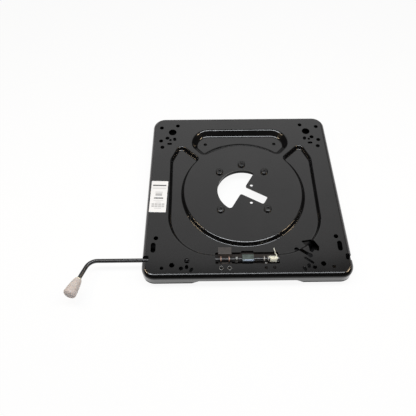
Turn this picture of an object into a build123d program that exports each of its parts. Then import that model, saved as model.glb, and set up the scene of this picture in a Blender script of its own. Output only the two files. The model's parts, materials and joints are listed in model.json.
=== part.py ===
from build123d import *
import math
import os

# Swivel seat base: a pressed upper plate turns on a fixed lower plate about a clamped ring bearing.
# Millimetres. The origin lies on the swivel axis at the underside of the lower plate, +Z is up,
# +Y is towards the back of the seat, and the release lever comes out on the -X side.

# Overall height and sheets
total_height = 36.0              # underside of the lower plate to the top face of the upper plate
upper_sheet = 2.5
lower_sheet = 2.5

# Upper plate, measured outwards from the disc in its middle
disc_radius = 126.0
trough_side_width = 29.0
trough_front_width = 27.0
side_land = 44.5
front_land = 47.0
back_land = 39.0
front_splay = 5.0                # how much wider each side is at the front edge
back_taper = 1.7                 # how much narrower each side is at the back edge

# Turned-down edges of the upper plate
front_corner_radius = 25.0
back_corner_radius = 27.0
edge_bend_radius = 8.5           # outer radius of the turned-down edge
corner_skirt_depth = 26.5        # at the two ends of the front edge
middle_skirt_depth = 17.5        # in the middle of the front edge
side_skirt_depth = 32.0          # along the sides and the back
middle_half_length = 94.0        # half length of the shallow middle of the front skirt
middle_ramp = 14.0               # run of the slope from the shallow to the deep front skirt

# Trough pressed round the disc
trough_depth = 7.5
trough_wall_run = 3.5
trough_front_radius = 92.0
trough_shoulder = 85.0           # place on the plan where the sides start to close in
trough_shoulder_radius = 30.0
trough_end_angle = 46.4          # between the trough's end and the +Y axis
trough_end_length = 61.0
trough_tip_radius = 11.0
trough_root_radius = 9.0
trough_top_bend = 3.5
trough_floor_bend = 3.5

# Recess pressed behind the disc
recess_overlap = 1.5             # recess's inner edge inside the disc's edge
recess_width = 45.5
recess_side_inset = 12.0         # recess's back corners inside the disc's sides
recess_depth = 11.0
recess_wall_run = 11.0
recess_end_angle = 41.5          # between the recess's end and the +Y axis
recess_end_length = 36.5
recess_back_radius = 38.0
recess_end_radius = 16.0
recess_root_radius = 16.0
recess_top_bend = 6.5
recess_floor_bend = 6.5
recess_hole_half_spacing = 78.4
recess_hole_inset = 34.0
recess_hole_radius = 4.0

# Hub bolts and the ring bearing
hub_bolt_inset = 57.5            # disc's edge to the bolt circle
hub_bolt_angles = (45.0, 90.0, 135.0, 225.0, 315.0)
hub_bolt_radius = 4.0
hub_bolt_clearance = 0.25
hub_head_radius = 7.9
hub_head_height = 5.0
hub_head_bevel = 1.4
hub_socket_width = 5.0
hub_socket_depth = 2.8
hub_washer_radius = 8.4
hub_washer_thickness = 1.6
hub_nut_width = 13.0
hub_nut_height = 6.8
hub_nut_chamfer = 0.9
hub_bolt_end = 3.0               # thread that shows below the nut
hub_inner_land = 13.5            # bolt circle to the hub's bore
hub_outer_land = 11.5            # bolt circle to the hub's running face
slide_thickness = 2.0
slide_collar = 1.9
running_clearance = 0.08
seat_clearance = 0.05
boss_inset = 13.0                # disc's edge to the boss's edge
slide_inset = 3.0                # boss's edge to the upper slide ring's edge
clamp_inset = 5.0                # boss's edge to the clamp ring's edge
clamp_thickness = 3.0

# Cable opening through the disc: a half moon with a slot across its straight side
moon_inset = 1.0                 # hub's bore to the half moon's edge
moon_turn = -30.0                # direction of the slot on the plan, in degrees from +X
moon_corner_radius = 6.0
slot_width = 20.8
slot_end_inset = 0.6             # half moon's radius to the slot's end
slot_corner_radius = 4.0
tie_hole_radius = 3.2
tie_holes = ((9.7, 20.2), (29.4, -19.2))   # along the slot and across it

# Seat-fixing holes, the same on both sides, measured in from the plate's edges
seat_bolt_radius = 4.6
seat_bolt_side_inset = 20.7
seat_bolt_back_inset = 70.1
seat_bolt_front_inset = 85.9
# from the side, from the back, diameter
back_holes = (
    (20.9, 30.5, 9.2),
    (57.9, 24.8, 9.2),
    (46.3, 44.4, 17.8),
    (24.4, 88.6, 9.2),
    (34.9, 61.8, 9.2),
    (41.9, 67.6, 6.0),
)
# from the side, from the front, diameter
front_holes = (
    (34.5, 20.2, 7.0),
    (53.8, 26.2, 10.2),
    (71.5, 19.0, 8.4),
)
# from the side, from the back or front, length, width, turn on the right-hand side
back_slots = (
    (51.5, 65.4, 10.0, 7.4, 80.0),
    (40.5, 78.8, 11.0, 6.0, 0.0),
)
front_slots = (
    (16.2, 64.7, 22.0, 9.6, 90.0),
    (82.3, 22.0, 9.5, 6.4, 90.0),
    (91.0, 16.0, 10.5, 6.0, -60.0),
)
left_hole = (82.5, 35.2, 10.4)
right_slot = (80.5, 33.6, 22.0, 5.0, -38.0)

# Cut-outs in the front right corner of the trough, measured from that corner of its outline
strap_slot_ends = ((-56.0, 14.4), (-32.5, -3.0))
strap_slot_width = 6.6
strap_slot_eye_radius = 4.6
cap_points = ((-45.5, 33.5), (-25.0, 36.5), (-12.5, 16.0), (-14.5, 6.0),
              (-22.5, 9.5), (-27.5, 3.0), (-32.5, 7.0), (-33.0, 17.0))
cap_corner_radius = 1.8

# Lower plate
platform_gap = 5.0               # clear height between the trough's underside and the platform
platform_margin = 4.6            # latch slots to the platform's edge
platform_wall_run = 7.0
boss_wall_run = 6.0
lower_bevel = 2.0                # corners of the lower plate's steps
lower_flange = 3.0               # round flat flange at the foot of the platform's wall
lower_side_gap = 1.0             # lower plate's edges inside the upper plate's
lower_front_gap = 10.0
lower_back_gap = 0.8
lower_corner_radius = 24.0
lower_bolt_inset = 53.5          # from the upper plate's sides
lower_bolt_radius = 4.5

# Latch rod and lever
rod_radius = 4.0
rod_ahead = 6.2                  # rod's axis in front of the trough's front edge
rod_below = 7.2                  # rod's axis below the upper plate's top face
rod_clearance = 0.08
rod_end_margin = 2.0             # rod past the end clip
rod_end_chamfer = 0.8
lever_reach = 106.2              # plate's side to the corner of the lever's two straight runs
lever_bend_radius = 22.0
lever_plan_angle = 69.3          # turn of the bent end on the plan
lever_rise_angle = 6.0           # rise of the bent end
lever_shank = 43.7               # corner to the knob's narrow end

# Knob
knob_length = 37.0
knob_neck_radius = 7.6
knob_wide_radius = 13.4
knob_end_rounding = 6.2
knob_neck_rounding = 1.0
knob_lip_radius = 5.4
knob_lip = 2.0
knob_socket = 24.0
knob_clearance = 0.05

# Rod brackets
bracket_sheet = 2.0
bracket_bend = 1.5
bracket_gap = 0.5                # between the rod and the bracket's web
left_margin = 4.0                # strap past the outer faces of the left bracket's ears
bracket_foot_ahead = 14.8        # back of the foot, in front of the rod's axis
left_foot = 16.0                 # length of the riveted foot
right_foot = 3.4                 # length of the welded foot
bracket_tab_behind = 26.0        # end of the tab, behind the rod's axis
bracket_ramp = 5.0
ear_margin = 2.4                 # steel round the rod in an ear
left_ears = (-51.0, -35.0)
right_ears = (33.0, 41.0)

# Hollow rivets of the left bracket, in line with its ears
rivet_ahead = 21.8               # in front of the rod's axis
rivet_radius = 3.2
rivet_bore = 2.1
rivet_flange_radius = 4.7
rivet_flange = 0.9
rivet_clearance = 0.05

# Latch window and side notches
window_half_width = 62.0
window_ahead = 13.3              # window's front edge in front of the rod's axis
window_margin = 3.6              # window's back edge behind the foot of the trough's wall
window_corner_radius = 3.0
claw_relief = 3.0                # deeper stretch of the window behind the claw
notch_depth = 8.6
notch_length = 13.0
notch_corner_radius = 3.0
notch_clearance = 2.0            # below the rod; the turned-down edge carries on beneath

# Latch claw
claw_middle = 1.5
claw_half_width = 11.0
claw_back = 9.0                  # behind the rod's axis
claw_front = 7.6                 # in front of the rod's axis
claw_top = 6.8                   # above the rod's axis
claw_bottom = 2.0                # below the rod's axis
claw_rounding = 3.0
tooth_spacing = 13.0
tooth_width = 6.0
tooth_thickness = 4.0
tooth_riding_gap = 0.3           # tooth tip above the platform with the latch drawn
tooth_slot_side = 0.8
tooth_slot_end = 0.6
latched_turn = 14.0              # lever turn that drops the teeth into their slots
claw_pin_radius = 1.5
claw_pin_clearance = 0.05

# Collar, spring, washer and clip on the rod
collar_middle = -20.5
collar_width = 5.5
collar_radius = 6.4
collar_chamfer = 0.6
collar_screw_radius = 1.5
collar_screw_length = 2.6
collar_screw_slot = 0.6
spring_side_gap = 0.4
spring_wire_radius = 1.0
spring_inner_gap = 0.7           # between the rod and the inside of the coil
spring_turns = 7.0
spring_pitch = 2.05
spring_wire_sides = 8
spring_leg_behind = 24.7         # end of the leg, behind the rod's axis
spring_leg_shift = 3.5           # end of the leg towards the claw
spring_tail_depth = 2.5          # tail of the spring inside the rod
end_washer_thickness = 1.2
end_washer_radius = 6.6
end_clip_thickness = 1.0
end_clip_radius = 6.2
end_clip_mouth = 5.6
end_groove_depth = 1.0

# Heights that follow from the sizes above
plate_top = total_height
plate_under = plate_top - upper_sheet
trough_floor = plate_top - trough_depth
trough_under = trough_floor - upper_sheet
platform_top = trough_under - platform_gap
boss_top = plate_under - slide_thickness
boss_under = boss_top - lower_sheet
clamp_top = boss_under - slide_thickness
clamp_under = clamp_top - clamp_thickness
washer_under = clamp_under - hub_washer_thickness
nut_under = washer_under - hub_nut_height
skirt_low = plate_top - max(side_skirt_depth, corner_skirt_depth)
rod_height = plate_top - rod_below
web_top = rod_height - rod_radius - bracket_gap
through = 2 * total_height       # longer than any cut needs

# Plan sizes that follow
trough_half_width = disc_radius + trough_side_width
trough_front = disc_radius + trough_front_width
plate_half_width = trough_half_width + side_land
plate_front = trough_front + front_land
recess_inner_radius = disc_radius - recess_overlap
recess_back = recess_inner_radius + recess_width
recess_half_length = disc_radius - recess_side_inset
plate_back = recess_back + back_land
hub_bolt_circle = disc_radius - hub_bolt_inset
hub_bore = hub_bolt_circle - hub_inner_land
hub_radius = hub_bolt_circle + hub_outer_land
moon_radius = hub_bore - moon_inset
slot_reach = moon_radius - slot_end_inset
collar_bore = hub_radius + running_clearance
boss_bore = collar_bore + slide_collar + seat_clearance
boss_radius = disc_radius - boss_inset
slide_radius = boss_radius - slide_inset
clamp_radius = boss_radius - clamp_inset
rod_y = -trough_front - rod_ahead
lever_corner = -plate_half_width - lever_reach
ear_half = rod_radius + ear_margin

# Places along the rod that follow
spring_left = right_ears[1] + bracket_sheet / 2 + spring_side_gap
spring_right = spring_left + spring_turns * spring_pitch + 2 * spring_wire_radius
washer_left = spring_right + spring_side_gap
groove_left = washer_left + end_washer_thickness
groove_right = groove_left + end_clip_thickness
rod_right_end = groove_right + rod_end_margin
spring_radius = rod_radius + spring_inner_gap + spring_wire_radius


def upright(radius, low, high, x=0.0, y=0.0):
    """Upright cylinder between two heights."""
    return Pos(x, y, (low + high) / 2) * Cylinder(radius, high - low)


def along_rod(radius, left, right):
    """Cylinder on the rod's axis between two places along X."""
    return Pos((left + right) / 2, rod_y, rod_height) * Rot(0, 90, 0) * Cylinder(radius, right - left)


def ring(outer, inner, low, high):
    """Flat ring round the swivel axis."""
    return upright(outer, low, high) - upright(inner, low - 1, high + 1)


def outline(*points):
    """Flat face bounded by straight runs between the points."""
    return make_face(Polyline(*points, close=True))


def rounded(face, corners):
    """The face with the corner nearest each listed point rounded to its radius."""
    for (x, y), radius in corners:
        nearest = sorted(face.vertices(), key=lambda v: math.hypot(v.X - x, v.Y - y))[0]
        face = fillet(nearest, radius)
    return face


def bevelled(face, places, length):
    """The face with the corner nearest each place cut off."""
    for x, y in places:
        nearest = sorted(face.vertices(), key=lambda v: math.hypot(v.X - x, v.Y - y))[0]
        face = chamfer(nearest, length)
    return face


def both_sides(points):
    """The points and then their mirror images in reverse order, round a symmetric outline."""
    return list(points) + [(-x, y) for x, y in reversed(points)]


def polar(reach, angle):
    """Plan point at a distance from the axis, at an angle from +Y towards +X."""
    return (reach * math.sin(math.radians(angle)), reach * math.cos(math.radians(angle)))


def wall_slope(depth, run):
    """Angle between a pressed wall and the flat sheet."""
    return math.atan2(depth, run)


def sheet_shift(depth, run, sheet):
    """How far a bend's corner moves sideways from one face of the sheet to the other."""
    return sheet * math.tan(wall_slope(depth, run) / 2)


def through_plate(plan):
    """Prism that cuts a plan shape through the whole upper plate."""
    return Pos(0, 0, plate_top + 1) * extrude(plan, through, dir=(0, 0, -1))


def skirted_blank():
    """Flat-topped sheet with its edges turned down all round to the deepest skirt."""
    corners = both_sides(((plate_half_width + front_splay, -plate_front),
                          (plate_half_width - back_taper, plate_back)))
    radii = (front_corner_radius, back_corner_radius, back_corner_radius, front_corner_radius)
    plan = rounded(outline(*corners), zip(corners, radii))
    outer = Pos(0, 0, skirt_low) * extrude(plan, plate_top - skirt_low)
    outer = fillet(outer.faces().sort_by(Axis.Z)[-1].edges(), edge_bend_radius)
    hollow = Pos(0, 0, skirt_low - 1) * extrude(offset(plan, -upper_sheet), plate_under - skirt_low + 1)
    hollow = fillet(hollow.faces().sort_by(Axis.Z)[-1].edges(), edge_bend_radius - upper_sheet)
    return outer - hollow


def trough_plan():
    """U-shaped plan of the trough at the plate's top face."""
    tip = polar(disc_radius + trough_end_length, trough_end_angle)
    root = polar(disc_radius, trough_end_angle)
    shoulder = (trough_half_width, trough_shoulder)
    corner = (trough_half_width, -trough_front)
    face = outline((0, 0), *both_sides((tip, shoulder, corner))) - Circle(disc_radius)
    radii = (trough_tip_radius, trough_shoulder_radius, trough_front_radius, trough_root_radius)
    places = both_sides((tip, shoulder, corner, root))
    return rounded(face, zip(places, radii + radii[::-1]))


def recess_plan():
    """Kidney-shaped plan of the back recess at the plate's top face."""
    end = polar(recess_inner_radius + recess_end_length, recess_end_angle)
    root = polar(recess_inner_radius, recess_end_angle)
    corner = (recess_half_length, recess_back)
    face = outline((0, 0), *both_sides((end, corner))) - Circle(recess_inner_radius)
    radii = (recess_end_radius, recess_back_radius, recess_root_radius)
    places = both_sides((end, corner, root))
    return rounded(face, zip(places, radii + radii[::-1]))


def press(blank, plan, tightest, depth, run, top_bend, floor_bend):
    """Press a pan of the plan shape into the sheet, with sloping walls and rounded bends."""
    slope = wall_slope(depth, run)
    taper = 90 - math.degrees(slope)
    shift = sheet_shift(depth, run, upper_sheet)
    room = (tightest - run) / math.tan(slope / 2)    # the largest floor bend that the tightest corner takes
    bend = min(floor_bend, 0.9 * room)
    under = Pos(0, 0, plate_under) * extrude(offset(plan, shift), depth, dir=(0, 0, -1), taper=taper)
    under = fillet(under.faces().sort_by(Axis.Z)[0].edges(), bend + upper_sheet)
    pan = Pos(0, 0, plate_top) * extrude(plan, depth, dir=(0, 0, -1), taper=taper)
    pan = fillet(pan.faces().sort_by(Axis.Z)[0].edges(), bend)
    pressed = blank + under - pan
    boundary = Pos(0, 0, plate_top) * plan.wire()
    rim = [edge for edge in pressed.edges() if boundary.distance_to(edge @ 0.5) < 0.001]
    return fillet(rim, top_bend)


def moon_plan():
    """Half moon with a slot across its straight side, turned to its direction."""
    half = Circle(moon_radius) - Pos(moon_radius, 0) * Rectangle(2 * moon_radius, 3 * moon_radius)
    half = rounded(half, [((0, side * moon_radius), moon_corner_radius) for side in (1, -1)])
    slot = Pos(slot_reach / 2 - moon_radius / 4, 0) * Rectangle(slot_reach + moon_radius / 2, slot_width)
    corners = [(x, side * slot_width / 2) for x in (0, slot_reach) for side in (1, -1)]
    plan = rounded(half + slot, [(corner, slot_corner_radius) for corner in corners])
    plan += [Pos(along, across) * Circle(tie_hole_radius) for along, across in tie_holes]
    return Rot(0, 0, moon_turn) * plan


def seat_holes(side):
    """Plans of the seat-fixing holes and slots on one side of the upper plate."""
    x = side * (plate_half_width - seat_bolt_side_inset)
    shapes = [Pos(x, plate_back - seat_bolt_back_inset) * Circle(seat_bolt_radius),
              Pos(x, seat_bolt_front_inset - plate_front) * Circle(seat_bolt_radius)]
    for inset, along, diameter in back_holes:
        shapes.append(Pos(side * (plate_half_width - inset), plate_back - along) * Circle(diameter / 2))
    for inset, along, diameter in front_holes:
        shapes.append(Pos(side * (plate_half_width - inset), along - plate_front) * Circle(diameter / 2))
    for inset, along, length, width, turn in back_slots:
        place = Pos(side * (plate_half_width - inset), plate_back - along)
        shapes.append(place * Rot(0, 0, side * turn) * SlotOverall(length, width))
    for inset, along, length, width, turn in front_slots:
        place = Pos(side * (plate_half_width - inset), along - plate_front)
        shapes.append(place * Rot(0, 0, side * turn) * SlotOverall(length, width))
    shapes.append(Pos(side * recess_hole_half_spacing, recess_back - recess_hole_inset)
                  * Circle(recess_hole_radius))
    return shapes


def single_side_holes():
    """Plans of the hole and the slot that only one front corner has."""
    inset, along, diameter = left_hole
    hole = Pos(inset - plate_half_width, along - plate_front) * Circle(diameter / 2)
    inset, along, length, width, turn = right_slot
    place = Pos(plate_half_width - inset, along - plate_front)
    return [hole, place * Rot(0, 0, turn) * SlotOverall(length, width)]


def hub_places():
    """Plan places of the hub bolts."""
    return [Pos(*polar(hub_bolt_circle, 90 - angle)) for angle in hub_bolt_angles]


def rivet_places():
    """Plan places of the bracket rivets."""
    return [Pos(x, rod_y - rivet_ahead) for x in left_ears]


def strap_cuts():
    """Plans of the two cut-outs that leave a strap across the trough's front right corner."""
    corner = Pos(trough_half_width, -trough_front)
    (x0, y0), (x1, y1) = strap_slot_ends
    turn = math.degrees(math.atan2(y1 - y0, x1 - x0))
    run = Rectangle(math.hypot(x1 - x0, y1 - y0), strap_slot_width)
    slot = Pos((x0 + x1) / 2, (y0 + y1) / 2) * Rot(0, 0, turn) * run
    slot += [Pos(x, y) * Circle(strap_slot_eye_radius) for x, y in strap_slot_ends]
    cap = outline(*cap_points)
    return [corner * slot, corner * fillet(cap.vertices(), cap_corner_radius)]


def window_plan():
    """Plan of the latch window, with a deeper stretch behind the claw."""
    front = rod_y - window_ahead
    slope = wall_slope(trough_depth, trough_wall_run)
    wall_foot = trough_wall_run + trough_floor_bend * math.tan(slope / 2)
    back = -trough_front + wall_foot + window_margin
    main_shape = RectangleRounded(2 * window_half_width, back - front, window_corner_radius)
    main = Pos(0, (front + back) / 2) * main_shape
    relief = Pos(claw_middle, (rod_y + back + claw_relief) / 2)
    relief_shape = RectangleRounded(2 * claw_half_width + 2, back + claw_relief - rod_y, 1)
    return main + relief * relief_shape


def side_notch(side):
    """Notch in the bend of one side that lets the rod out, with the turned-down edge whole below it."""
    reach = 3 * notch_depth + 2 * front_splay
    floor = rod_height - rod_radius - notch_clearance
    middle = Pos(side * (plate_half_width - notch_depth + reach / 2), rod_y, floor)
    return middle * extrude(RectangleRounded(reach, notch_length, notch_corner_radius), through)


def skirt_trim():
    """Solids that trim the turned-down edges to their own depths, in front of the rod and behind it."""
    low = skirt_low - 1
    wide = 2 * plate_half_width
    far = middle_half_length + middle_ramp
    corner_low = plate_top - corner_skirt_depth
    middle_low = plate_top - middle_skirt_depth
    side_low = plate_top - side_skirt_depth
    front_face = outline(*both_sides(((wide, low), (wide, corner_low), (far, corner_low),
                                      (middle_half_length, middle_low))))
    front = Pos(0, rod_y, 0) * extrude(Plane.XZ * front_face, wide)
    back_face = outline(*both_sides(((wide, low), (wide, side_low))))
    back = Pos(0, rod_y, 0) * extrude(Plane.XZ * back_face, -2 * wide)
    return [front, back]


def upper_plate():
    """Pressed steel plate that carries the seat."""
    body = skirted_blank() - skirt_trim()
    body = press(body, trough_plan(), min(trough_tip_radius, trough_root_radius), trough_depth,
                 trough_wall_run, trough_top_bend, trough_floor_bend)
    body = press(body, recess_plan(), min(recess_end_radius, recess_root_radius), recess_depth,
                 recess_wall_run, recess_top_bend, recess_floor_bend)
    cuts = [moon_plan(), window_plan()] + strap_cuts() + single_side_holes()
    for side in (1, -1):
        cuts += seat_holes(side)
        hole = Circle(rivet_radius + rivet_clearance)
        cuts += [Pos(-side * x, rod_y - rivet_ahead) * hole for x in left_ears]
    cuts += [place * Circle(hub_bolt_radius + hub_bolt_clearance) for place in hub_places()]
    body -= [through_plate(cut) for cut in cuts]
    return body - [side_notch(side) for side in (1, -1)]


def tooth_slot_span():
    """Front and back of a latch slot: what a tooth sweeps between riding and latched."""
    turn = math.radians(latched_turn)
    drop = platform_top + tooth_riding_gap - rod_height
    front = rod_y - claw_front - tooth_thickness
    back = rod_y - claw_front * math.cos(turn) - drop * math.sin(turn)
    return front - tooth_slot_end, back + tooth_slot_end


def lower_plate():
    """Pressed steel plate that bolts to the seat box, with a raised platform and bearing boss."""
    slot_front, slot_back = tooth_slot_span()
    platform_radius = platform_margin - slot_front
    platform_foot = platform_radius + platform_wall_run
    boss_foot = boss_radius + boss_wall_run
    flange = platform_foot + lower_flange
    platform_shift = sheet_shift(platform_top - lower_sheet, platform_wall_run, lower_sheet)
    boss_shift = sheet_shift(boss_top - platform_top, boss_wall_run, lower_sheet)
    platform_under = platform_top - lower_sheet
    upper = ((boss_bore, boss_top), (boss_radius, boss_top), (boss_foot, platform_top),
             (platform_radius, platform_top), (platform_foot, lower_sheet), (flange, lower_sheet))
    under = ((flange, 0), (platform_foot - platform_shift, 0),
             (platform_radius - platform_shift, platform_under), (boss_foot - boss_shift, platform_under),
             (boss_radius - boss_shift, boss_under), (boss_bore, boss_under))
    section = bevelled(outline(*upper, *under), upper[1:5] + under[1:5], lower_bevel)
    dome = revolve(Plane.XZ * section, Axis.Z)
    rim_sides = ((plate_half_width + front_splay - lower_side_gap, lower_front_gap - plate_front),
                 (plate_half_width - back_taper - lower_side_gap, plate_back - lower_back_gap))
    rim = outline(*both_sides(rim_sides))
    rim = fillet(rim.vertices(), lower_corner_radius) - Circle(flange - lower_flange / 3)
    body = dome + extrude(rim, lower_sheet)
    slot = Box(tooth_width + 2 * tooth_slot_side, slot_back - slot_front, 4 * lower_sheet)
    cuts = []
    for quarter in range(4):
        for side in (1, -1):
            x = claw_middle + side * tooth_spacing / 2
            place = Pos(x, (slot_front + slot_back) / 2, platform_top)
            cuts.append(Rot(0, 0, 90 * quarter) * place * slot)
    spacing = plate_half_width - lower_bolt_inset
    for x in (spacing, -spacing):
        for y in (spacing, -spacing):
            cuts.append(upright(lower_bolt_radius, -1, lower_sheet + 1, x, y))
    return body - cuts


def upper_slide_ring():
    """Plastic ring between the disc and the boss, with a collar that lines the bore."""
    flange = ring(slide_radius, collar_bore, boss_top, plate_under)
    return flange + ring(collar_bore + slide_collar, collar_bore, boss_under, boss_top)


def lower_slide_ring():
    """Plastic ring between the boss and the clamp ring."""
    return ring(clamp_radius, boss_bore, clamp_top, boss_under)


def hub_holes(low, high):
    """Bolt holes through one ring of the hub."""
    hole = upright(hub_bolt_radius + hub_bolt_clearance, low - 1, high + 1)
    return [place * hole for place in hub_places()]


def hub_spacer():
    """Steel ring that runs in the bore and sets the bearing's height."""
    return ring(hub_radius, hub_bore, clamp_top, plate_under) - hub_holes(clamp_top, plate_under)


def clamp_ring():
    """Steel ring that holds the boss up against the disc."""
    return ring(clamp_radius, hub_bore, clamp_under, clamp_top) - hub_holes(clamp_under, clamp_top)


def hub_bolts():
    """Round-headed bolts through the disc, spacer and clamp ring."""
    head_top = plate_top + hub_head_height
    head = upright(hub_head_radius, plate_top, head_top)
    head = chamfer(head.edges().group_by(Axis.Z)[-1], hub_head_bevel)
    socket_plan = RegularPolygon(hub_socket_width / 2, 6, major_radius=False)
    socket = Pos(0, 0, head_top - hub_socket_depth) * extrude(socket_plan, 2 * hub_socket_depth)
    bolt = head + upright(hub_bolt_radius, nut_under - hub_bolt_end, plate_top) - socket
    return Compound(children=[place * bolt for place in hub_places()])


def hub_washers():
    """Washers between the clamp ring and the nuts."""
    washer = upright(hub_washer_radius, washer_under, clamp_under)
    washer -= upright(hub_bolt_radius + hub_bolt_clearance, washer_under - 1, clamp_under + 1)
    return Compound(children=[place * washer for place in hub_places()])


def hub_nuts():
    """Nuts under the clamp ring, with their corners turned off at both ends."""
    plan = RegularPolygon(hub_nut_width / 2, 6, major_radius=False)
    nut = Pos(0, 0, nut_under) * extrude(plan, hub_nut_height)
    corner_radius = hub_nut_width / 2 / math.cos(math.radians(30))
    turned = upright(corner_radius, nut_under, washer_under)
    turned = chamfer(turned.edges().filter_by(GeomType.CIRCLE), hub_nut_chamfer / 2, hub_nut_chamfer)
    nut = (nut & turned) - upright(hub_bolt_radius, nut_under - 1, washer_under + 1)
    return Compound(children=[place * nut for place in hub_places()])


def bracket(ears, margin, foot, has_tab):
    """Folded strap under the rod: a foot below the plate, a web with two ears, and perhaps a tab."""
    foot_back = rod_y - bracket_foot_ahead
    foot_front = foot_back - foot
    web_front = rod_y - ear_half
    web_back = rod_y + ear_half
    points = [(foot_front, plate_under), (foot_back, plate_under)]
    points += [(web_front, web_top), (web_back, web_top)]
    if has_tab:
        tab_top = trough_floor + bracket_sheet
        points += [(web_back + bracket_ramp, tab_top), (rod_y + bracket_tab_behind, tab_top)]
    upper_line = FilletPolyline(*points, radius=bracket_bend)
    section = make_face(offset(upper_line, bracket_sheet, side=Side.RIGHT))
    left = ears[0] - bracket_sheet / 2 - margin
    right = ears[1] + bracket_sheet / 2 + margin
    strap = Pos(left, 0, 0) * extrude(Plane.YZ * section, right - left)
    web_low = web_top - bracket_sheet
    gusset = outline((web_front, web_low), (web_back, web_low),
                     (web_back, rod_height), (web_front, rod_height))
    ear_plan = Pos(rod_y, rod_height) * Circle(ear_half) + gusset
    ear = extrude(Plane.YZ * ear_plan, bracket_sheet / 2, both=True)
    body = strap + [Pos(x, 0, 0) * ear for x in ears]
    return body - along_rod(rod_radius + rod_clearance, left - 1, right + 1)


def left_rod_bracket():
    """Riveted bracket at the lever's side, with its tab on the trough floor."""
    hole = upright(rivet_radius + rivet_clearance, trough_floor, plate_top)
    return bracket(left_ears, left_margin, left_foot, True) - [place * hole for place in rivet_places()]


def right_rod_bracket():
    """Bracket beside the spring, welded along the window's edge, its strap flush with its ears."""
    return bracket(right_ears, 0, right_foot, False)


def bracket_rivets():
    """Hollow rivets with rolled flanges that hold the left bracket."""
    low = plate_under - bracket_sheet
    rivet = upright(rivet_radius, low, plate_top)
    rivet += upright(rivet_flange_radius, plate_top, plate_top + rivet_flange)
    rivet += upright(rivet_flange_radius, low - rivet_flange, low)
    rivet -= upright(rivet_bore, low - 2 * rivet_flange, plate_top + 2 * rivet_flange)
    return Compound(children=[place * rivet for place in rivet_places()])


def lever_direction():
    """Unit vector along the lever's bent end."""
    plan = math.radians(lever_plan_angle)
    rise = math.radians(lever_rise_angle)
    return Vector(-math.cos(plan) * math.cos(rise), -math.sin(plan) * math.cos(rise), math.sin(rise))


def lever_rod():
    """Bent rod with a clip groove, a cross hole for the claw pin and one for the spring's tail."""
    start = Vector(rod_right_end, rod_y, rod_height)
    corner = Vector(lever_corner, rod_y, rod_height)
    end = corner + lever_direction() * (lever_shank + knob_socket)
    path = FilletPolyline(start, corner, end, radius=lever_bend_radius)
    rod = sweep(Plane(start, z_dir=(-1, 0, 0)) * Circle(rod_radius), path)
    rod = chamfer(rod.edges().sort_by(Axis.X)[-1], rod_end_chamfer)
    groove = along_rod(2 * rod_radius, groove_left, groove_right)
    groove -= along_rod(rod_radius - end_groove_depth, groove_left - 1, groove_right + 1)
    pin_hole = upright(claw_pin_radius + claw_pin_clearance, 0, through, claw_middle, rod_y)
    tail_x = spring_left + spring_wire_radius
    tail_floor = rod_height + rod_radius - spring_tail_depth - claw_pin_clearance
    tail_hole = upright(spring_wire_radius + claw_pin_clearance, tail_floor, through, tail_x, rod_y)
    return rod - groove - pin_hole - tail_hole


def lever_knob():
    """Tapered knob with a rounded end and a lip, pushed on the end of the lever."""
    bore = rod_radius + knob_clearance
    wide_end = (knob_wide_radius, knob_length)
    neck = (knob_neck_radius, 0)
    section = outline(wide_end, (0, knob_length), (0, knob_socket), (bore, knob_socket), (bore, -knob_lip),
                      (knob_lip_radius, -knob_lip), (knob_lip_radius, 0), neck)
    section = rounded(section, ((wide_end, knob_end_rounding), (neck, knob_neck_rounding)))
    knob = revolve(Plane.XZ * section, Axis.Z)
    start = Vector(lever_corner, rod_y, rod_height) + lever_direction() * lever_shank
    return Plane(start, z_dir=lever_direction()) * knob


def latch_claw():
    """Saddle over the rod with two teeth that drop into the lower plate's slots."""
    front = rod_y - claw_front
    back = rod_y + claw_back
    low = rod_height - claw_bottom
    high = rod_height + claw_top
    block = outline((front, low), (back, low), (back, high), (front, high))
    block = rounded(block, (((front, high), claw_rounding), ((back, high), claw_rounding)))
    saddle = extrude(Plane.YZ * block, claw_half_width, both=True)
    tip = platform_top + tooth_riding_gap
    nose = front - tooth_thickness
    tooth_face = outline((front, tip), (nose, tip), (nose, low), (front, low + tooth_thickness),
                         (rod_y, low + tooth_thickness), (front + tooth_thickness / 2, low))
    tooth = extrude(Plane.YZ * tooth_face, tooth_width / 2, both=True)
    body = saddle + [Pos(side * tooth_spacing / 2, 0, 0) * tooth for side in (1, -1)]
    body = Pos(claw_middle, 0, 0) * body
    body -= along_rod(rod_radius + rod_clearance, -through, through)
    return body - upright(claw_pin_radius + claw_pin_clearance, rod_height, through, claw_middle, rod_y)


def claw_pin():
    """Cross pin that keys the claw to the rod."""
    return upright(claw_pin_radius, rod_height - rod_radius, rod_height + claw_top, claw_middle, rod_y)


def rod_collar():
    """Collar that stops the rod sliding along."""
    left = collar_middle - collar_width / 2
    right = collar_middle + collar_width / 2
    body = along_rod(collar_radius, left, right)
    body = chamfer(body.edges().filter_by(GeomType.CIRCLE), collar_chamfer)
    body -= along_rod(rod_radius + rod_clearance, left - 1, right + 1)
    return body - upright(collar_screw_radius, rod_height, through, collar_middle, rod_y)


def collar_screw():
    """Slotted grub screw in the collar."""
    low = rod_height + rod_radius + rod_clearance
    high = low + collar_screw_length
    screw = upright(collar_screw_radius, low, high, collar_middle, rod_y)
    slot = Box(3 * collar_screw_radius, collar_screw_slot, 2 * collar_screw_slot)
    return screw - Pos(collar_middle, rod_y, high) * slot


def end_washer():
    """Washer between the spring and the end clip."""
    body = along_rod(end_washer_radius, washer_left, groove_left)
    return body - along_rod(rod_radius + rod_clearance, washer_left - 1, groove_left + 1)


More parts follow.
